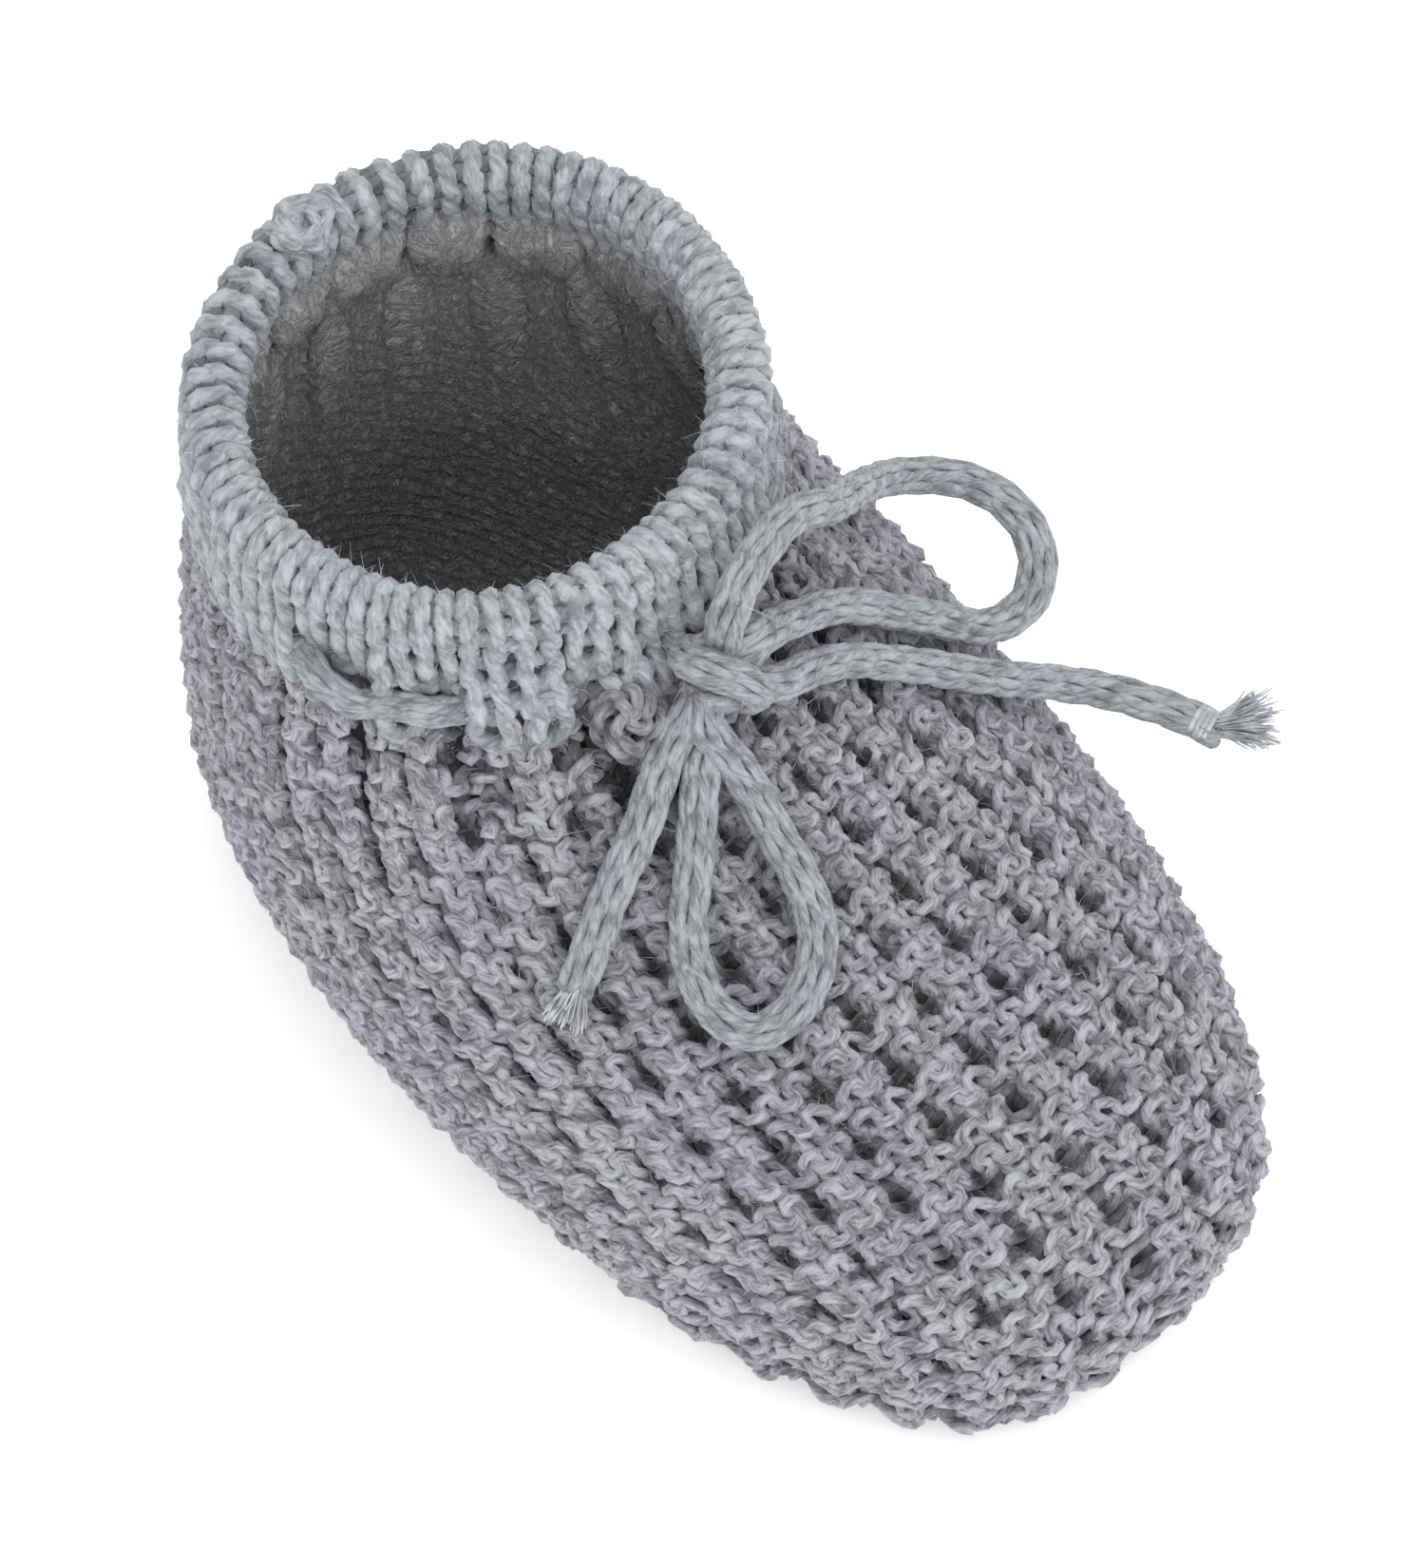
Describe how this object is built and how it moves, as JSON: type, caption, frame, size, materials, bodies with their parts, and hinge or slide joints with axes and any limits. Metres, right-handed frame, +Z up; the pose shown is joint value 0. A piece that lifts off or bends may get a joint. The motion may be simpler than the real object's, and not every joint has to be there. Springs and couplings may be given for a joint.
{
  "type": "knitted baby bootie",
  "caption": "Soft knitted baby bootie with a hollow foot, a rolled cuff at the ankle and a drawstring tied in a bow over the instep.",
  "frame": {"origin": "on the floor under the middle of the bounding box of the bootie without its bow", "axes": "+Z up, -Y towards the toe, +X towards the wearer's left"},
  "size_m": [0.0669, 0.0998, 0.0587],
  "materials": {
    "upper_knit": "tuck-stitch knit in fuzzy grey melange yarn",
    "sole_knit": "plain knit in the same yarn",
    "cord": "tubular knitted cord in the same yarn"
  },
  "bodies": {
    "root": {"upper": "upper_knit", "sole": "sole_knit", "drawstring": "cord", "bow_knot": "cord", "bow_loop_left": "cord", "bow_loop_down": "cord", "cord_end_left": "cord", "cord_end_down": "cord"}
  },
  "joints": []
}
